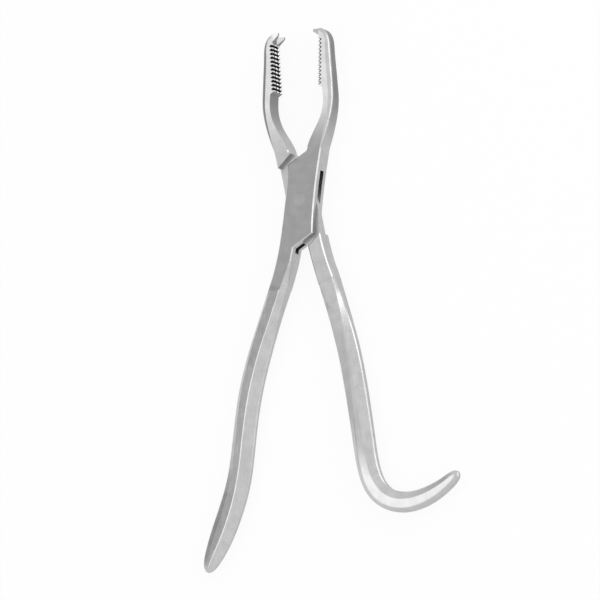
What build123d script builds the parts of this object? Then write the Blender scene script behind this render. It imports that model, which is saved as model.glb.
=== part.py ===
from build123d import *
import math
import os

# Bone holding forceps with a box lock, lying flat with the jaws a little open.
# X points right, Y points from the pivot towards the jaws, Z points up out of the face that shows.
# The origin is on the pivot axis, on the flat underside. All sizes are in millimetres.
# Both halves share one outline. It is drawn for the half with the box, and mirrored for the half
# with the tongue, which is then turned open about the pivot.

# Forging
lock_thickness = 12.0        # across both flat faces of the box lock
wall = 3.9                   # each wall of the box, in front of and behind the tongue
lap_clearance = 0.06         # between the tongue and each wall of the box
edge_break = 0.7             # bevel along the edges of the flat faces

# Box lock
wall_end = 22.5              # from the pivot to the slanting ends of the box walls
wall_end_slant = 31.5        # slant of those ends, in degrees from the X axis
shoulder = 24.6              # from the pivot to the shoulders beside the tongue
shoulder_slant = 41.1        # slant of the shoulders, in degrees from the X axis
window_end = 19.2            # from the pivot to the closed ends of the slot through the box
window_slant = 118.7         # slant of the closed ends, in degrees from the X axis
tongue_corner = 5.0          # rounding of the hidden corners of the tongue
grind_start = (-4.9, -33.0)  # where the inner edge begins to be ground away towards the plain handle
grind_end = (-12.6, -52.4)   # where that grinding reaches the end of the flat
grind_depth = 2.8            # depth of the grinding at the side, at its end

# Pivot
pin_radius = 3.0             # shank of the riveted pin
pin_head_radius = 3.8        # where the rivet is spread into its countersink
pin_head_depth = 1.0         # depth of each countersink
pin_clearance = 0.05         # running clearance of the pin in the tongue

# Jaws
bite_offset = 12.4           # from the centre line of a half to the crests of its serrations
bite_start = 68.6            # where the serrated pad begins, measured from the pivot
row_pitch = 2.4              # from one cross groove to the next
row_count = 12
row_depth = 1.45             # depth of a cross groove
row_crest = 0.35             # flat left on a crest
column_count = 3             # rows of pyramids across the width of the jaw
column_depth = 1.1           # depth of the grooves that run along the jaw
taper_start = 44.0           # where the jaw begins to thin towards its tip
tip_reach = 104.0            # from the pivot to the end of the jaw
tip_thickness = 9.2          # of the jaw at its tip
jaw_proud = 0.06             # stock left on each face of the jaw until it is thinned

# Teeth at the tip of the jaw
tooth_reach = 5.5            # how far the single tooth stands in from the serrations
twin_reach = 4.0             # the same for the pair of teeth
twin_stagger = 1.2           # how far the back tooth of the pair sits below the front one
tooth_foot = 5.8             # from the end of the jaw back to the underside of a tooth at its foot
tooth_back = 0.6             # the same to the upper side of a tooth at its foot
tooth_point_low = 1.7        # the same to the underside of the point
tooth_point_high = 0.4       # the same to the upper side of the point
tooth_width = 6.0            # width of the single tooth where it leaves the jaw
tooth_point = 2.0            # width of its point
twin_point = 1.2             # width of each point of the pair
twin_spacing = 7.6           # between the points of the pair of teeth

# Handles
handle_corner = 1.0          # setback of the bevels along the side edges of the handles
ridge_ease = 0.4             # setback of the curve over the ridge of the plain handle
hook_ridge_ease = 0.6        # the same on the handle with the hook, which is softer
facet_fall = 0.28            # fall of the facet outside the ridge of the plain handle

# Motion
rest_opening = 3.5           # how far the half with the tongue is turned open here, in degrees

CRISP = 0                    # the corner of a section is left as it is
BEVEL = 1                    # it is bevelled in two steps
CURVE = 2                    # it is curved

middle = lock_thickness / 2
across_all = 90.0            # longer than any cut is wide
near = 0.01


def line_y(distance, slant, x):
    """Y of a line that runs at a slant and passes at a distance above the pivot."""
    a = math.radians(slant)
    return (distance + x * math.sin(a)) / math.cos(a)


# Corners of the flat plate round the pivot
top_outer = (-7.7, line_y(wall_end, wall_end_slant, -7.7))
top_inner = (4.6, line_y(wall_end, wall_end_slant, 4.6))
tongue_inner = (3.8, line_y(wall_end, wall_end_slant, 3.8))
shank_inner = (5.5, 31.4)
shank_outer = (14.6, 30.0)
low_outer = (8.8, line_y(-wall_end, wall_end_slant, 8.8))
low_inner = (-4.0, line_y(-wall_end, wall_end_slant, -4.0))
handle_inner = (-9.6, -53.3)
handle_outer = (-19.6, -50.0)


def plate(crotch):
    """Flat middle of one half, from the root of its jaw to the root of its handle."""
    outline = make_face([
        Line(top_outer, crotch),
        ThreePointArc(crotch, (5.2, 30.2), shank_inner),
        Line(shank_inner, shank_outer),
        Spline(shank_outer, (12.2, 15.5), (10.2, 0.3), (8.9, -17.0), low_outer),
        Line(low_outer, low_inner),
        Spline(low_inner, (-5.7, -37.0), handle_inner),
        Line(handle_inner, handle_outer),
        Spline(handle_outer, (-13.3, -26.7), (-9.4, 0.5), (-7.9, 14.0), top_outer),
    ])
    return extrude(outline, lock_thickness, dir=(0, 0, 1))


def break_edges(body, side):
    """Bevel along the edges of both flat faces, except where the jaw and the handle follow."""
    joints = [midpoint(shank_inner, shank_outer, side), midpoint(handle_inner, handle_outer, side)]
    flat = body.edges().filter_by_position(Axis.Z, -near, near)
    flat += body.edges().filter_by_position(Axis.Z, lock_thickness - near, lock_thickness + near)
    kept = [e for e in flat if all(math.dist((e.center().X, e.center().Y), j) > near for j in joints)]
    return chamfer(kept, edge_break)


def midpoint(one, other, side):
    return (side * (one[0] + other[0]) / 2, (one[1] + other[1]) / 2)


def band(half_length, slant, low, high):
    """Block across the lock, between two lines at a distance from the pivot, for cutting."""
    block = Box(across_all, 2 * half_length, high - low, align=(Align.CENTER, Align.CENTER, Align.MIN))
    return Pos(0, 0, low) * Rot(0, 0, slant) * block


def eased_face(corners):
    """Face through corners given as x, y, setback and how the corner is eased over that setback."""
    points = [Vector(x, y) for x, y, _, _ in corners]
    edges = []
    first = last = None
    for i, (_, _, setback, ease) in enumerate(corners):
        here = points[i]
        arrive = here + (points[i - 1] - here).normalized() * setback
        leave = here + (points[(i + 1) % len(points)] - here).normalized() * setback
        if last:
            edges.append(Line(last, arrive))
        if ease == CURVE:
            edges.append(Bezier(arrive, here, leave))
        elif ease == BEVEL:
            halfway = (arrive + here * 2 + leave) / 4
            edges += [Line(arrive, halfway), Line(halfway, leave)]
        first = first or arrive
        last = leave
    edges.append(Line(last, first))
    return make_face(edges)


# Sections of the jaw, which turn round its tip: inner point, outer point, width of the outer bevel
jaw_sections = [
    (shank_inner, shank_outer, 0.9),
    ((7.6, 36.6), (16.3, 35.2), 1.2),
    ((10.6, 42.0), (18.1, 40.6), 1.6),
    ((13.4, 47.3), (19.7, 46.3), 2.0),
    ((15.3, 53.0), (21.1, 52.4), 2.4),
    ((16.0, 59.5), (21.9, 59.8), 2.7),
    ((15.2, 68.0), (21.5, 69.0), 2.9),
    ((14.6, 80.0), (20.5, 80.5), 2.9),
    ((14.4, tip_reach - 14.0), (19.6, tip_reach - 13.2), 2.8),
    ((14.0, tip_reach - 9.5), (18.7, tip_reach - 6.8), 2.6),
    ((13.4, tip_reach - 7.5), (16.6, tip_reach - 2.8), 2.3),
    ((bite_offset, tip_reach - 7.0), (bite_offset, tip_reach - 0.8), 1.8),
]


def taper(y):
    """How much of each face is gone at a distance along the jaw."""
    thinning = (lock_thickness - tip_thickness) / 2
    return max(0.0, (y - taper_start) / (tip_reach - taper_start)) * thinning


def jaw_section(inner, outer, bevel):
    """Upright section through two points of the plan, with its outer edges ground to a soft bevel."""
    width = math.dist(inner, outer)
    along = (inner[1] + outer[1]) / 2
    half = middle - taper(along) + (jaw_proud if along > taper_start else 0.0)
    slope = half - 0.6 * bevel
    face = eased_face([
        (0, -half, edge_break / 2, BEVEL), (width - bevel, -half, 0, CRISP),
        (width, -slope, 0.4 * bevel, CURVE), (width, slope, 0.4 * bevel, CURVE),
        (width - bevel, half, 0, CRISP), (0, half, edge_break / 2, BEVEL),
    ])
    across = Vector(outer[0] - inner[0], outer[1] - inner[1], 0).normalized()
    upright = Vector(0, 0, 1)
    return Plane((inner[0], inner[1], middle), x_dir=across, z_dir=across.cross(upright)) * face


def jaw_pad():
    """Block that carries the serrations, left proud on both faces until they are thinned."""
    outline = Polyline((bite_offset, bite_start), (bite_offset, tip_reach - 2.0), (14.4, tip_reach - 4.0),
                       (16.6, tip_reach - 8.0), (17.2, bite_start - 2.6), close=True)
    proud = 0.5
    pad = extrude(Plane.XY.offset(-proud) * make_face(outline), lock_thickness + 2 * proud, dir=(0, 0, 1))
    return pad


def taper_cut():
    """Wedges that thin the jaw on both faces from the shank to the tip."""
    far = tip_reach + 2.0
    top = lock_thickness - taper(far)
    near_end = shank_outer[1] - 5.0
    side = Polyline((near_end, lock_thickness), (taper_start, lock_thickness), (far, top),
                    (far, lock_thickness + 2), (near_end, lock_thickness + 2), close=True)
    wedge = extrude(Plane.YZ * make_face(side), across_all / 2, dir=(1, 0, 0))
    return wedge + mirror(wedge, Plane.XY.offset(middle))


def serration_cut():
    """Cross grooves and lengthwise grooves that leave rows of small pyramids."""
    open_side = bite_offset - 1.0
    flank = row_depth / (row_pitch - row_crest) * 2
    cuts = []
    for row in range(row_count):
        root = bite_start + row_pitch * (row + 0.5)
        reach = (row_pitch - row_crest) / 2 + 1.0 / flank
        groove = make_face(Polyline((open_side, root - reach), (bite_offset + row_depth, root),
                                    (open_side, root + reach), close=True))
        cuts.append(extrude(Plane.XY.offset(-1) * groove, lock_thickness + 2, dir=(0, 0, 1)))
    for column in range(1, column_count):
        root = lock_thickness * column / column_count
        reach = column_depth + 1.0
        groove = make_face(Polyline((open_side, root - reach), (bite_offset + column_depth, root),
                                    (open_side, root + reach), close=True))
        length = row_pitch * row_count
        start = Plane(origin=(0, bite_start + length, 0), x_dir=(1, 0, 0), z_dir=(0, -1, 0))
        cuts.append(extrude(start * groove, length + 2, dir=(0, -1, 0)))
    return cuts


def tooth(foot_low, foot_high, point_low, point_high, reach):
    """Beak between two heights at its foot and two at its point."""
    foot_x = bite_offset + 0.8
    foot_z = (foot_low + foot_high) / 2
    point_z = (point_low + point_high) / 2
    foot_y = tip_reach - (tooth_foot + tooth_back) / 2
    point_y = tip_reach - (tooth_point_low + tooth_point_high) / 2
    foot = Plane((foot_x, foot_y, foot_z), x_dir=(0, 1, 0), z_dir=(-1, 0, 0))
    point = Plane((bite_offset - reach, point_y, point_z), x_dir=(0, 1, 0), z_dir=(-1, 0, 0))
    return loft([
        foot * Rectangle(tooth_foot - tooth_back, foot_high - foot_low),
        point * Rectangle(tooth_point_low - tooth_point_high, point_high - point_low),
    ])


def single_tooth():
    foot = tooth_width / 2
    point = tooth_point / 2
    return [tooth(middle - foot, middle + foot, middle - point, middle + point, tooth_reach)]


def twin_teeth():
    face = middle + tip_thickness / 2
    centre = middle + twin_spacing / 2
    upper = tooth(middle + 0.4, face, centre - twin_point / 2, centre + twin_point / 2, twin_reach)
    lower = mirror(upper, Plane.XY.offset(middle))
    return [upper, Pos(0, -twin_stagger, 0) * lower]


def jaw(teeth):
    body = loft([jaw_section(*section) for section in jaw_sections])
    body = body + jaw_pad() - taper_cut()
    for groove in serration_cut():
        body -= groove
    for one in teeth:
        body += one
    return body


# Stations of the handles: x, y, width, thickness, height of the side, then how far the outer and the
# inner line of the ridge lie from the middle. The first three follow the thickness of the lock.
plain_stations = [
    (-11.2, -38.0, 9.0, lock_thickness - 0.4, 7.0, -3.0, 3.0),
    (-15.3, -51.0, 12.6, lock_thickness - 0.3, 5.4, -2.8, 2.7),
    (-18.2, -59.0, 13.2, lock_thickness - 0.7, 4.0, -4.0, 2.7),
    (-22.9, -72.0, 13.9, 10.7, 3.0, -4.8, 2.3),
    (-29.0, -90.0, 14.9, 10.2, 2.4, -4.9, 1.6),
    (-36.0, -117.0, 15.3, 9.6, 2.2, -4.9, 1.1),
    (-39.8, -144.0, 15.2, 9.2, 2.2, -4.5, 0.7),
    (-43.2, -166.0, 15.8, 9.0, 2.2, -4.4, 0.9),
    (-49.2, -185.0, 16.1, 8.6, 2.2, -4.0, 1.6),
    (-55.0, -199.0, 15.2, 8.0, 2.0, -3.6, 1.6),
    (-59.6, -209.0, 12.4, 6.8, 1.8, -2.6, 0.9),
    (-62.2, -214.6, 9.2, 5.4, 1.6, -1.6, 0.5),
    (-63.6, -218.0, 4.8, 3.2, 1.0, -0.8, 0.3),
    (-64.0, -219.0, 1.6, 1.4, 0.5, -0.3, 0.1),
]
hook_stations = [
    (11.2, -38.0, 9.0, lock_thickness - 0.2, 7.0, -3.0, 3.0),
    (14.5, -51.0, 12.2, lock_thickness - 0.2, 6.4, -4.4, 4.3),
    (17.3, -62.0, 12.6, lock_thickness - 0.4, 5.6, -3.6, 3.6),
    (21.0, -77.0, 13.3, 10.8, 4.4, 0.2, 2.4),
    (24.6, -94.0, 13.9, 10.2, 3.8, -0.2, 1.4),
    (28.8, -124.0, 14.2, 9.8, 3.6, -1.8, 0.6),
    (31.4, -150.0, 14.0, 9.4, 3.4, -3.3, 0.8),
    (33.6, -168.0, 13.8, 9.2, 3.4, -3.6, 1.2),
    (37.0, -178.6, 13.6, 9.0, 3.4, -3.9, 1.6),
    (42.2, -185.6, 13.0, 9.0, 3.4, -4.1, 1.6),
    (48.8, -189.8, 12.5, 9.0, 3.4, -4.2, 1.3),
    (60.5, -191.9, 12.0, 8.8, 3.2, -4.3, 1.2),
    (73.0, -189.6, 11.0, 8.2, 3.0, -3.8, 1.0),
    (84.0, -184.7, 9.2, 7.0, 2.6, -2.6, 0.9),
    (89.8, -181.0, 7.2, 5.4, 2.2, -1.6, 0.7),
    (92.0, -179.5, 4.4, 3.4, 1.4, -0.9, 0.4),
    (92.7, -179.0, 1.8, 1.6, 0.7, -0.4, 0.2),
]


def handle_section(station, heading, fall, ridge):
    """Flattened section with rounded sides and, on each face, a ridge between two facets."""
    x, y, width, thickness, side, left, right = station
    w, t, s = width / 2, thickness / 2, side / 2
    low = t - fall * (right - left)
    edge = min(handle_corner, 0.7 * s)
    crest = ridge * min(1.0, s)
    outer_crest, outer_ease = (crest, BEVEL) if fall == 0 else (0.0, CRISP)
    face = eased_face([
        (-w, -s, edge, BEVEL), (left, -low, outer_crest, outer_ease), (right, -t, crest, CURVE),
        (w, -s, edge, BEVEL), (w, s, edge, BEVEL), (right, t, crest, CURVE),
        (left, low, outer_crest, outer_ease), (-w, s, edge, BEVEL),
    ])
    across = Vector(0, 0, 1).cross(heading)
    return Plane((x, y, middle), x_dir=across, z_dir=heading) * face


def handle(stations, fall, ridge):
    """Handle lofted through its stations, each section square to the run of the handle."""
    centres = [Vector(s[0], s[1], 0) for s in stations]
    last = len(stations) - 1
    faces = []
    for i, station in enumerate(stations):
        heading = (centres[min(i + 1, last)] - centres[max(i - 1, 0)]).normalized()
        faces.append(handle_section(station, heading, fall, ridge))
    return loft(faces)


def grind_cut():
    """Blocks that grind the inner edge away towards the plain handle, on both faces."""
    start = Vector(*grind_start, lock_thickness)
    end = Vector(*grind_end, lock_thickness)
    side = Vector(*handle_inner, lock_thickness - grind_depth)
    slope = Plane(start, x_dir=end - start, z_dir=(end - start).cross(side - start))
    reach = (end - start).length + 10
    block = slope * Box(reach, 20, 10, align=(Align.MIN, Align.CENTER, Align.MIN))
    return block + mirror(block, Plane.XY.offset(middle))


def box_half():
    """Half with the box: right jaw, slotted lock and plain handle, one forging."""
    body = break_edges(plate(top_inner), 1) - grind_cut()
    body += jaw(single_tooth())
    body += handle(plain_stations, facet_fall, ridge_ease)
    body -= band(window_end, window_slant, wall, lock_thickness - wall)
    body -= pin_shape()
    return body


def tongue_half():
    """Half with the tongue: left jaw, thin tongue and hooked handle, one forging."""
    body = mirror(plate(tongue_inner), Plane.YZ)
    hidden = [e for e in body.edges().filter_by(Axis.Z)
              if math.dist((-e.center().X, e.center().Y), top_outer) < near
              or math.dist((-e.center().X, e.center().Y), low_outer) < near]
    body = fillet(hidden, tongue_corner)
    pocket = wall + lap_clearance
    body -= band(shoulder, shoulder_slant, -1, pocket)
    body -= band(shoulder, shoulder_slant, lock_thickness - pocket, lock_thickness + 1)
    body = break_edges(body, -1)
    body += mirror(jaw(twin_teeth()), Plane.YZ)
    body += handle(hook_stations, 0.0, hook_ridge_ease)
    body -= Cylinder(pin_radius + pin_clearance, 2 * lock_thickness)
    return Rot(0, 0, rest_opening) * body


def pin_shape():
    """Riveted pin, spread into a countersink at each face and ground flush."""
    top = lock_thickness
    profile = make_face(Polyline(
        (0, 0), (pin_head_radius, 0), (pin_radius, pin_head_depth), (pin_radius, top - pin_head_depth),
        (pin_head_radius, top), (0, top), close=True))
    return revolve(Plane.XZ * profile, Axis.Z)


parts = {
    "box_half": box_half(),
    "tongue_half": tongue_half(),
    "pivot_pin": pin_shape(),
}

os.makedirs("parts", exist_ok=True)
for name, shape in parts.items():
    export_step(shape, f"parts/{name}.step")
    print(name, len(shape.solids()), round(shape.volume), shape.is_valid)
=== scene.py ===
# %% [markdown]
# # Bone holding forceps in satin stainless steel
#
# The forceps is three pieces of metal: a half with the box of the lock, a half with the thin tongue that
# passes through that box, and the rivet that both turn on. Their shapes come ready from the frame, so this
# lesson is about what makes bare steel look like steel: how the surface was forged, ground and brushed,
# what it has around it to reflect, and the light.

# %% Load the frame
import math
from types import SimpleNamespace

import bpy
from mathutils import Matrix, Vector


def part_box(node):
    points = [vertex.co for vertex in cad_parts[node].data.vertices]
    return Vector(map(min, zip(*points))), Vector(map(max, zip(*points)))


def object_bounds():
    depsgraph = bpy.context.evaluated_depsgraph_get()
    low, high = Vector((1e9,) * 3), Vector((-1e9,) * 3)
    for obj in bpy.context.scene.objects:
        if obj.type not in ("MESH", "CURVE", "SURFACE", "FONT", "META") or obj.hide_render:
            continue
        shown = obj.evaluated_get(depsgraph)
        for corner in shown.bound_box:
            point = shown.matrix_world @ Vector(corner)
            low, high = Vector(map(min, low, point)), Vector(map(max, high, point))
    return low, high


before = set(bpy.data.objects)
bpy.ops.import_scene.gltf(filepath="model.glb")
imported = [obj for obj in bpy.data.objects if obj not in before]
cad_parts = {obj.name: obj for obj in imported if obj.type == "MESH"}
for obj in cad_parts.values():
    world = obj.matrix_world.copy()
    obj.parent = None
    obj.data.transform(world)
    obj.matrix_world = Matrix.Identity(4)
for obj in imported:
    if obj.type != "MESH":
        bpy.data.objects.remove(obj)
cad_low, cad_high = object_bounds()
MM = 0.001

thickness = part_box("pivot_pin")[1].z
print("pieces:", sorted(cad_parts))
print("lock thickness in mm:", round(thickness / MM, 2))

# %% [markdown]
# ## The camera
#
# The photograph looks at the flat face of the lock from the side of the hooked handle, about 27 degrees off
# to the right and 11 degrees down towards the handles. The serrations of both jaws have the same spacing
# in the picture, so hardly any perspective is left. An orthographic camera would nearly do, but a very
# long lens far away keeps the little that there is. It is placed by the rivet, whose disc is easy to find
# in the picture.

# %% Values of the picture
PICTURE_PX = 600
PIVOT_PX = (298.8, 199.4)
FRAME_WIDTH = 356.4 * MM
TURN_RIGHT = 27.5
TURN_DOWN = -11.3
SENSOR = 36.0
LENS = 1200.0
FAR_CLIP = 100.0

pixel = FRAME_WIDTH / PICTURE_PX
distance = FRAME_WIDTH * LENS / SENSOR
print("one pixel in mm:", round(pixel / MM, 3))
print("camera distance in m:", round(distance, 2))

# %% Directions of the camera
turn_right = math.radians(TURN_RIGHT)
turn_down = math.radians(TURN_DOWN)
back = Vector((math.sin(turn_right) * math.cos(turn_down), math.sin(turn_down),
               math.cos(turn_right) * math.cos(turn_down)))
right = Vector((math.cos(turn_right), 0, -math.sin(turn_right)))
up = back.cross(right)
print("looking from", [round(v, 3) for v in back])

# %% Place the camera
pivot = Vector((0, 0, thickness))
aim = pivot + right * pixel * (PICTURE_PX / 2 - PIVOT_PX[0]) - up * pixel * (PICTURE_PX / 2 - PIVOT_PX[1])
camera_data = bpy.data.cameras.new("camera")
camera_data.lens = LENS
camera_data.sensor_width = SENSOR
camera_data.clip_end = FAR_CLIP
camera = bpy.data.objects.new("camera", camera_data)
bpy.context.scene.collection.objects.link(camera)
turn = Matrix((right, up, back)).transposed().to_4x4()
camera.matrix_world = Matrix.Translation(aim + back * distance) @ turn
bpy.context.scene.camera = camera
print("aimed in mm at", [round(v / MM, 1) for v in aim])

# %% [markdown]
# ## Colours and nodes
#
# A material is a small network of nodes. It could be built by hand in the editor, but a script can be read
# and run again. One function adds a node with its settings, and gives each input either a plain value or
# what another node puts out. Colours are written as the sRGB hex values that one would read off a screen,
# and turned to the linear values that the renderer mixes. Steel is grey, so one channel is enough for it.


# %% Turn a colour to linear
def linear(hex_colour):
    channels = [int(hex_colour[i:i + 2], 16) / 255 for i in (1, 3, 5)]
    return [c / 12.92 if c <= 0.04045 else ((c + 0.055) / 1.055) ** 2.4 for c in channels] + [1.0]


def grey(hex_colour):
    return linear(hex_colour)[0]


WHITE = linear("#ffffff")
print("middle grey in linear light:", round(grey("#808080"), 3))


# %% Add a node
def add(tree, kind, inputs=None, **settings):
    """Add a node. An input takes a value, a socket, or a node, which stands for its first output."""
    node = tree.nodes.new(kind)
    for name, value in settings.items():
        setattr(node, name, value)
    for name, source in (inputs or {}).items():
        if isinstance(source, bpy.types.Node):
            source = source.outputs[0]
        if isinstance(source, bpy.types.NodeSocket):
            tree.links.new(source, node.inputs[name])
        else:
            node.inputs[name].default_value = source
    return node


def empty_material(name):
    material = bpy.data.materials.new(name)
    material.use_nodes = True
    material.node_tree.nodes.clear()
    print("material:", material.name)
    return material


print(add.__doc__)

# %% [markdown]
# ## Regions of a piece
#
# Each half was worked in several ways, one stretch after another. The faces could be sorted into several
# materials, but then each finish would end in a hard line. A region is marked out by soft borders instead:
# a border is a value that changes over the surface, and the stretch over which it goes from outside to
# inside. Inside all the borders the region counts 1, and outside any of them 0.


# %% Mark out a region
def region(tree, borders):
    """How far inside a region each point lies, from borders given as a value, its start and its end."""
    inside = None
    for value, (start, end) in borders:
        step = add(tree, "ShaderNodeMapRange", {"Value": value, "From Min": start, "From Max": end},
                   interpolation_type="SMOOTHSTEP")
        if inside is not None:
            step = add(tree, "ShaderNodeMath", {0: inside, 1: step}, operation="MULTIPLY")
        inside = step
    return inside


print(region.__doc__)

# %% [markdown]
# ## Bare steel
#
# Surgical forceps are forged from hardened stainless steel and finished satin, so that they don't dazzle
# under theatre lamps. Bare metal has no colour under its shine: it is fully metallic, and its grey is the
# tint of its reflections. One network could hold every finish at once, but it would be hard to follow. So
# a steel starts here as the dull skin that blasting leaves, and each finish is laid over it later.
#
# The finishes follow three values: how far along the half a point lies, how far across it, and how level
# its face is. The half with the tongue lies turned open, so its own length doesn't run along Y. Its
# coordinates are turned back, and then both halves share the same numbers.

# %% Start a steel
BLASTED_SIDE = grey("#bcbcbc")
SATIN = 0.3
DULLER_SIDE = 0.08


def bare_steel(name, opening=0.0, roughness=SATIN):
    """Steel of a piece that lies turned open by an angle, still in its blasted skin."""
    material = empty_material(name)
    tree = material.node_tree
    place = add(tree, "ShaderNodeTexCoord")
    own = add(tree, "ShaderNodeMapping",
              {"Vector": place.outputs["Object"], "Rotation": (0, 0, -math.radians(opening))})
    axes = add(tree, "ShaderNodeSeparateXYZ", {"Vector": own})
    facing = add(tree, "ShaderNodeSeparateXYZ", {"Vector": place.outputs["Normal"]})
    across = add(tree, "ShaderNodeMath", {0: axes.outputs["X"]}, operation="ABSOLUTE")
    level = add(tree, "ShaderNodeMath", {0: facing.outputs["Z"]}, operation="ABSOLUTE")
    return SimpleNamespace(material=material, tree=tree, own=own, along=axes.outputs["Y"], across=across,
                           level=level, satin=roughness, tint=BLASTED_SIDE,
                           roughness=roughness + DULLER_SIDE)


print("satin roughness", SATIN, "and in the blasted skin", SATIN + DULLER_SIDE)


# %% Lay a finish over the steel
def lay(steel, borders, tint, roughness=None):
    """Change the tint of a steel inside a region, and its roughness where one is given."""
    where = region(steel.tree, borders)
    steel.tint = add(steel.tree, "ShaderNodeMix", {"Factor": where, "A": steel.tint, "B": tint},
                     data_type="FLOAT")
    if roughness is not None:
        steel.roughness = add(steel.tree, "ShaderNodeMix",
                              {"Factor": where, "A": steel.roughness, "B": roughness}, data_type="FLOAT")


print(lay.__doc__)

# %% [markdown]
# ## Ground faces and shaded sides
#
# The flat faces were ground on a wide wheel and are bright, and the slopes beside them are a little darker.
# Up the jaws, the upright sides get painted shade: a dark tint that stands for the shade of the floor
# beside them, which they reflect. Each could be given to faces picked one by one. Here they are told apart
# by how level the face is, which needs no picking and is right on the front and on the back.

# %% Grind the faces and paint shade on the upright sides
# painted shade: the dark tint laid on the upright sides of the jaws
UPRIGHT_SIDE_PAINTED_SHADE = grey("#868686")
GROUND_SLOPE = grey("#cfcfcf")
GROUND_FLAT = grey("#dcdcdc")

UPRIGHT = (0.5, 0.1)
SLOPING = (0.3, 0.85)
LEVEL = (0.955, 0.985)
UP_THE_JAW = (28.0 * MM, 66.0 * MM)


def grind_and_shade_sides(steel):
    # painted shade on the upright sides up the jaw, then the slopes and the flats
    lay(steel, [(steel.along, UP_THE_JAW), (steel.level, UPRIGHT)], UPRIGHT_SIDE_PAINTED_SHADE)
    lay(steel, [(steel.level, SLOPING)], GROUND_SLOPE, steel.satin)
    lay(steel, [(steel.level, LEVEL)], GROUND_FLAT)


print("tints of side, slope and flat:", [round(v, 2) for v in (UPRIGHT_SIDE_PAINTED_SHADE, GROUND_SLOPE, GROUND_FLAT)])

# %% [markdown]
# ## Painted shade on the left jaw
#
# The wide bevel on the outside of the left jaw reads as a darker band beside the bright flat. That band is
# painted shade, a darker tint for the dim reflection the bevel takes from the left. It could be had by
# light alone, but a darker room on the left would darken the left facets of both handles as well, so the
# shade is painted, and it is laid on that jaw only.

# %% Paint shade on the bevel
# painted shade: the darker tint on the outer bevel of the left jaw
LEFT_BEVEL_PAINTED_SHADE = grey("#969696")

JAW_ROOT = (28.0 * MM, 34.0 * MM)
OUTSIDE = (15.0 * MM, 18.0 * MM)
BEVELLED = (0.97, 0.93)


def shade_left_bevel(steel):
    # the outer bevel of the left jaw gets painted shade
    lay(steel, [(steel.along, JAW_ROOT), (steel.level, BEVELLED), (steel.across, OUTSIDE)], LEFT_BEVEL_PAINTED_SHADE)


print("the skin begins in mm at", JAW_ROOT[0] / MM)

# %% [markdown]
# ## Brushed stretches
#
# After the lock was fitted, both faces of it were brushed lengthwise on a belt, and they are grey and
# matt beside the ground flats. The belt ran out softly up the jaw. On the half with the hook it ran from
# the bend of the hook up to the jaw. The brushing could be shown by stretched highlights, but in a white
# room those hardly show, and what is left is a greyer and rougher stretch. Each half gets its own, with a
# long border where the belt was lifted.

# %% Brush a stretch of the flats
BRUSHED_WALL = grey("#a0a0a0")
BRUSHED_HANDLE = grey("#c0c0c0")
GROUND_RIVET = grey("#aaaaaa")
BRUSHED_DULLER = 0.06

WALL_FROM = (-54.0 * MM, -53.0 * MM)
WALL_TO = (66.0 * MM, 28.0 * MM)
HANDLE_FROM = (-178.0 * MM, -150.0 * MM)
HANDLE_TO = (62.0 * MM, 26.0 * MM)


def brush(steel, start, end, tint):
    lay(steel, [(steel.along, start), (steel.along, end), (steel.level, LEVEL)], tint,
        steel.satin + BRUSHED_DULLER)


print("brushed on the box half in mm, from", WALL_FROM[0] / MM, "to", WALL_TO[0] / MM)

# %% [markdown]
# ## Painted highlight on the ridges
#
# Below the brushed stretch, the ridge of a handle gets a painted highlight, a near-white tint that stands
# for the thin white line the ridge catches from the light. It could be a thin strip of its own, but the
# strip would have to follow every bend. The ridge is a narrow curve that passes through a small range of
# slopes just short of level, and that range picks it out.

# %% Paint a highlight on the ridge
# painted highlight: the near-white tint of the handle ridges
RIDGE_PAINTED_HIGHLIGHT = grey("#f0f0f0")

NEARLY_LEVEL = (0.957, 0.972)


def paint_ridge_highlight(steel, start):
    """Paint a highlight on the ridge below the place where the brushed stretch starts."""
    # painted highlight on the ridge
    lay(steel, [(steel.along, start[::-1]), (steel.level, NEARLY_LEVEL)], RIDGE_PAINTED_HIGHLIGHT)


print("the ridge leans in degrees between", [round(math.degrees(math.acos(v)), 1) for v in NEARLY_LEVEL])

# %% [markdown]
# ## The serrated bite
#
# Cross grooves and lengthwise grooves were milled into each jaw, and leave rows of small pyramids that
# grip bone. The cuts are rough, and a near-black tint in them is painted shade for the shade deep in the
# grooves. The crests get a near-white tint, a painted highlight. On the flat face a narrow dark line of
# painted shade goes round the edge of each cut. The pyramids are real shapes, and shadow alone could darken
# the cuts, but too much of the white room gets in. So the material paints the shade and the highlights on.

# %% Sizes of the bite
# painted shade for the cuts, and below it the painted highlight for the crests
CUT_PAINTED_SHADE = grey("#2c2c2c")
CREST_PAINTED_HIGHLIGHT = grey("#ececec")
ROUGH_CUT = 0.6

BITE = 12.4 * MM
BITE_LOW = 68.0 * MM
BITE_HIGH = 97.6 * MM
ROW_START = 68.6 * MM
ROW_PITCH = 2.4 * MM
ROW_DEPTH = 1.45 * MM
ROW_HALF = 1.025 * MM

BITE_FROM = (BITE_LOW, BITE_LOW + 0.4 * MM)
BITE_TO = (BITE_HIGH, BITE_HIGH - 0.4 * MM)
PYRAMIDS = (BITE + 1.9 * MM, BITE + 1.7 * MM)
BELOW_CRESTS = (BITE + 0.3 * MM, BITE + 0.6 * MM)
NOT_FLAT = (0.92, 0.85)
print("rows in the bite:", round((BITE_HIGH - BITE_LOW) / ROW_PITCH, 1))


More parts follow.
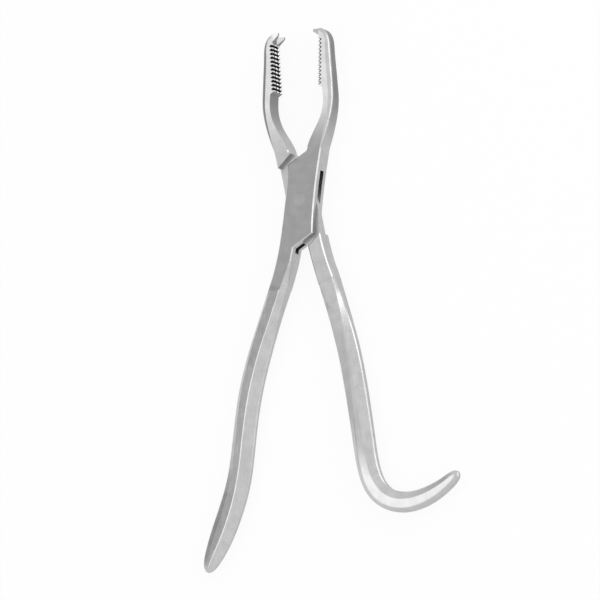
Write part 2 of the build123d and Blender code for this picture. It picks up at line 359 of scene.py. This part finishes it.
# %% Depth of the cut beside each point
def cut_depth(steel):
    """Depth of the row of grooves, level with each point along the jaw: deepest at a root."""
    tree = steel.tree
    along = add(tree, "ShaderNodeMath", {0: steel.along, 1: ROW_START}, operation="SUBTRACT")
    rows = add(tree, "ShaderNodeMath", {0: along, 1: ROW_PITCH}, operation="DIVIDE")
    row = add(tree, "ShaderNodeMath", {0: rows}, operation="FRACT")
    from_root = add(tree, "ShaderNodeMath", {0: row, 1: 0.5}, operation="SUBTRACT")
    off_root = add(tree, "ShaderNodeMath", {0: from_root}, operation="ABSOLUTE")
    rise = add(tree, "ShaderNodeMath", {0: off_root, 1: -ROW_DEPTH * ROW_PITCH / ROW_HALF},
               operation="MULTIPLY")
    return add(tree, "ShaderNodeMath", {0: rise, 1: ROW_DEPTH}, operation="ADD")


print("a cut in mm, deep", ROW_DEPTH / MM, "and wide", round(2 * ROW_HALF / MM, 2))

# %% Paint shade into the cuts and highlights on the crests
# painted shade: the width of the dark line on the flat round each cut
CUT_EDGE_SHADE_LINE = (1.1 * MM, 0.8 * MM)
BESIDE_A_CUT = (0.1 * MM, 0.3 * MM)


def paint_bite_shade_and_highlight(steel):
    depth = cut_depth(steel)
    behind = add(steel.tree, "ShaderNodeMath", {0: steel.across, 1: BITE}, operation="SUBTRACT")
    beyond = add(steel.tree, "ShaderNodeMath", {0: behind, 1: depth}, operation="SUBTRACT")
    bite = [(steel.along, BITE_FROM), (steel.along, BITE_TO)]
    # painted shade: dark line on the flat at the edge of each cut
    lay(steel, bite + [(steel.level, LEVEL), (beyond, CUT_EDGE_SHADE_LINE), (depth, BESIDE_A_CUT)], CUT_PAINTED_SHADE)
    pyramids = bite + [(steel.level, NOT_FLAT), (steel.across, PYRAMIDS)]
    # painted highlight: bright tint on the crests of the pyramids
    lay(steel, pyramids, CREST_PAINTED_HIGHLIGHT)
    # painted shade: near-black tint down in the cuts, with a rough surface
    lay(steel, pyramids + [(steel.across, BELOW_CRESTS)], CUT_PAINTED_SHADE, ROUGH_CUT)


print("tints of crest and cut:", round(CREST_PAINTED_HIGHLIGHT, 2), round(CUT_PAINTED_SHADE, 3))

# %% [markdown]
# ## The teeth at the tips
#
# One jaw ends in a single tooth and the other in a pair that it passes between. They were filed by hand
# after the bite was cut, and their upper faces get the same painted highlight as the crests. The region of
# the crests could be made longer, but it would darken what lies below them, so the teeth have a region of
# their own.

# %% Paint a highlight on the teeth
TEETH_FROM = (BITE_HIGH, BITE_HIGH + 1.0 * MM)
STANDING_IN = (BITE + 0.4 * MM, BITE - 0.4 * MM)
UPPER_FACE = (0.6, 0.9)


def paint_teeth_highlight(steel):
    # painted highlight: the bright tint on the upper faces of the teeth
    lay(steel, [(steel.along, TEETH_FROM), (steel.across, STANDING_IN), (steel.level, UPPER_FACE)],
        CREST_PAINTED_HIGHLIGHT)


print("the teeth stand in from", STANDING_IN[0] / MM, "mm off the middle")

# %% [markdown]
# ## Grain and clouds
#
# The belts leave fine scratches along each piece, and the polish is never quite even. Scratches could be
# a bump alone, but at this distance they show as streaks of tint, so one noise drives the tint, the
# roughness and a slight bump together. It is stretched lengthwise. Real scratches are about 0.05 mm wide,
# too fine to show here, and are drawn coarser. A second, wider noise makes the clouds.

# %% Scratch the steel and finish it
SCRATCH_WIDTH = 0.35 * MM
SCRATCH_LENGTH = 9.0 * MM
SCRATCH_TINT = (0.93, 1.05)
SCRATCH_ROUGHNESS = (-0.04, 0.04)
SCRATCH_DEPTH = 0.02 * MM
SCRATCH_STRENGTH = 0.2
CLOUD_WIDTH = 6.25 * MM
CLOUD_TINT = (0.94, 1.04)
NOISE_DETAIL = 3.0
NOISE_ROUGHNESS = 0.6
NOISE_LOW = 0.3
NOISE_HIGH = 0.7


def spread_noise(tree, noise, low_high):
    """Spread the middle of a noise from a low to a high value."""
    low, high = low_high
    return add(tree, "ShaderNodeMapRange",
               {"Value": noise, "From Min": NOISE_LOW, "From Max": NOISE_HIGH,
                "To Min": low, "To Max": high}, interpolation_type="SMOOTHSTEP")


def scratches_of(steel):
    narrow = 1 / SCRATCH_WIDTH
    stretched = add(steel.tree, "ShaderNodeMapping",
                    {"Vector": steel.own, "Scale": (narrow, 1 / SCRATCH_LENGTH, narrow)})
    return add(steel.tree, "ShaderNodeTexNoise",
               {"Vector": stretched, "Scale": 1.0, "Detail": NOISE_DETAIL,
                "Roughness": NOISE_ROUGHNESS})


def finish_steel(steel):
    """Scratch a steel and join all that was laid on it to one metal shader."""
    tree = steel.tree
    scratches = scratches_of(steel)
    clouds = add(tree, "ShaderNodeTexNoise",
                 {"Vector": steel.own, "Scale": 1 / CLOUD_WIDTH, "Detail": NOISE_DETAIL})
    marks = add(tree, "ShaderNodeMath", {0: spread_noise(tree, scratches, SCRATCH_TINT),
                                         1: spread_noise(tree, clouds, CLOUD_TINT)}, operation="MULTIPLY")
    tint = add(tree, "ShaderNodeMath", {0: steel.tint, 1: marks}, operation="MULTIPLY")
    colour = add(tree, "ShaderNodeCombineColor", {"Red": tint, "Green": tint, "Blue": tint})
    roughness = add(tree, "ShaderNodeMath", {0: steel.roughness,
                                             1: spread_noise(tree, scratches, SCRATCH_ROUGHNESS)},
                    operation="ADD")
    bump = add(tree, "ShaderNodeBump",
               {"Height": scratches, "Strength": SCRATCH_STRENGTH, "Distance": SCRATCH_DEPTH})
    metal = add(tree, "ShaderNodeBsdfPrincipled",
                {"Metallic": 1.0, "Base Color": colour, "Roughness": roughness, "Normal": bump})
    add(tree, "ShaderNodeOutputMaterial", {"Surface": metal})
    return steel.material


print("scratches in mm, wide", SCRATCH_WIDTH / MM, "and long", SCRATCH_LENGTH / MM)

# %% [markdown]
# ## The two halves
#
# Both halves get the same steps in the same order: ground with painted shade on the sides, brushed, a
# painted highlight on the ridge, painted shade and highlight in the bite, and a painted highlight on the
# teeth. They could share one material, but they were brushed in different places, and only the half with
# the tongue gets painted shade on its left bevel. So each is a list of the steps that it went through.


# %% Finish both halves
def give(node_name, material):
    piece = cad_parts[node_name]
    piece.data.materials.clear()
    piece.data.materials.append(material)


REST_OPENING = 3.5

box_steel = bare_steel("satin_steel_box_half")
grind_and_shade_sides(box_steel)
brush(box_steel, WALL_FROM, WALL_TO, BRUSHED_WALL)
paint_ridge_highlight(box_steel, WALL_FROM)
paint_bite_shade_and_highlight(box_steel)
paint_teeth_highlight(box_steel)
give("box_half", finish_steel(box_steel))

tongue_steel = bare_steel("satin_steel_tongue_half", opening=REST_OPENING)
grind_and_shade_sides(tongue_steel)
shade_left_bevel(tongue_steel)
brush(tongue_steel, HANDLE_FROM, HANDLE_TO, BRUSHED_HANDLE)
paint_ridge_highlight(tongue_steel, HANDLE_FROM)
paint_bite_shade_and_highlight(tongue_steel)
paint_teeth_highlight(tongue_steel)
give("tongue_half", finish_steel(tongue_steel))
print("nodes in the steel of the tongue half:", len(tongue_steel.tree.nodes))

# %% [markdown]
# ## The rivet
#
# The rivet was spread into its countersinks and ground flush, across the grain of the lock. All that tells
# it from the wall is a slightly paler, rougher disc, so it gets the same steel with a little less shine.

# %% Finish the rivet
RIVET_ROUGHNESS = 0.34

rivet_steel = bare_steel("ground_steel_pin", roughness=RIVET_ROUGHNESS)
grind_and_shade_sides(rivet_steel)
brush(rivet_steel, WALL_FROM, WALL_TO, GROUND_RIVET)
give("pivot_pin", finish_steel(rivet_steel))
print("materials:", [m.name for m in bpy.data.materials])

# %% [markdown]
# ## The floor
#
# The forceps lies on its flat back on a white table. The photograph was cut out on pure white. More light
# would make a white table too, but it would wash out the steel, so most of the white is given to the
# camera and to the reflections directly. The rest is paint that takes the light and keeps a faint shadow.

# %% Lay the floor
FLOOR_DROP = 0.05 * MM
FLOOR_SIZE = 3.0
FLOOR_MIDDLE_Y = -0.05

reach = FLOOR_SIZE / 2
corners = [(-reach, -reach, 0), (reach, -reach, 0), (reach, reach, 0), (-reach, reach, 0)]
floor_mesh = bpy.data.meshes.new("floor")
floor_mesh.from_pydata(corners, [], [(0, 1, 2, 3)])
floor = bpy.data.objects.new("floor", floor_mesh)
floor.location = (0, FLOOR_MIDDLE_Y, cad_low.z - FLOOR_DROP)
bpy.context.scene.collection.objects.link(floor)
print("floor at z in mm:", round(floor.location.z / MM, 3))

# %% Paint the floor
PLAIN_WHITE = 0.9

table = empty_material("white_table")
paint = add(table.node_tree, "ShaderNodeBsdfDiffuse", {"Color": WHITE})
white = add(table.node_tree, "ShaderNodeEmission", {"Color": WHITE, "Strength": 1.0})
ray = add(table.node_tree, "ShaderNodeLightPath")
seen = add(table.node_tree, "ShaderNodeMath",
           {0: ray.outputs["Is Camera Ray"], 1: ray.outputs["Is Glossy Ray"]}, operation="MAXIMUM")
seen = add(table.node_tree, "ShaderNodeMath",
           {0: seen, 1: ray.outputs["Is Transmission Ray"]}, operation="MAXIMUM")
share = add(table.node_tree, "ShaderNodeMath", {0: seen, 1: PLAIN_WHITE}, operation="MULTIPLY")
mixed = add(table.node_tree, "ShaderNodeMixShader", {0: share, 1: paint, 2: white})
add(table.node_tree, "ShaderNodeOutputMaterial", {"Surface": mixed})
floor_mesh.materials.append(table)
print("share of plain white on the floor:", PLAIN_WHITE)

# %% [markdown]
# ## The room
#
# Steel shows what is around it, so the room matters more than the lamps. An even white room would leave
# the left slopes nearly as bright as the flats. Here the room is white and dims towards one corner at the
# far left, which is what the left slopes of the jaws and handles reflect.

# %% Light the room
ROOM_WHITE = 0.88
ROOM_DIM = 0.36
LEFT_WALL = (-0.45, -0.85)
FAR_WALL = (-0.05, 0.35)

world = bpy.data.worlds.new("studio")
bpy.context.scene.world = world
world.use_nodes = True
room = world.node_tree
room.nodes.clear()
way = add(room, "ShaderNodeTexCoord")
axes = add(room, "ShaderNodeSeparateXYZ", {"Vector": way.outputs["Generated"]})
corner = region(room, [(axes.outputs["X"], LEFT_WALL), (axes.outputs["Y"], FAR_WALL)])
strength = add(room, "ShaderNodeMapRange", {"Value": corner, "To Min": ROOM_WHITE, "To Max": ROOM_DIM},
               interpolation_type="SMOOTHSTEP")
sky = add(room, "ShaderNodeBackground", {"Color": WHITE, "Strength": strength})
add(room, "ShaderNodeOutputWorld", {"Surface": sky})
print("the room goes from", ROOM_WHITE, "to", ROOM_DIM, "in the corner")

# %% [markdown]
# ## The softboxes
#
# A lamp close to small steel gives hard spots, so the lamps are wide panels. One hangs where the flat faces
# reflect it and lifts them a little above the room. The other stands low at the right and puts the thin
# white lines on every edge that faces it. The power of a panel is worked out from how bright it looks,
# so that its size can be changed without changing its brightness.


# %% Hang the softboxes
def softbox(name, place, width, height, radiance):
    """Panel that faces the lock and looks evenly bright."""
    light = bpy.data.lights.new(name, "AREA")
    light.shape = "RECTANGLE"
    light.size = width
    light.size_y = height
    light.energy = radiance * math.pi * width * height
    lamp = bpy.data.objects.new(name, light)
    lamp.location = place
    lamp.rotation_mode = "QUATERNION"
    lamp.rotation_quaternion = (-Vector(place)).to_track_quat("-Z", "Y")
    bpy.context.scene.collection.objects.link(lamp)
    print(name, "in W:", round(light.energy, 2))


softbox("softbox_over", place=(-0.45, 0.2, 0.87), width=0.6, height=0.6, radiance=0.25)
softbox("softbox_right", place=(1.0, 0.45, 0.47), width=1.4, height=0.3, radiance=1.8)
bpy.context.scene.view_settings.view_transform = "Standard"

# %% [markdown]
# ## The sizes
#
# Nothing in this lesson moves or reshapes a piece, so the box round what is seen has to be the box round
# the frame.
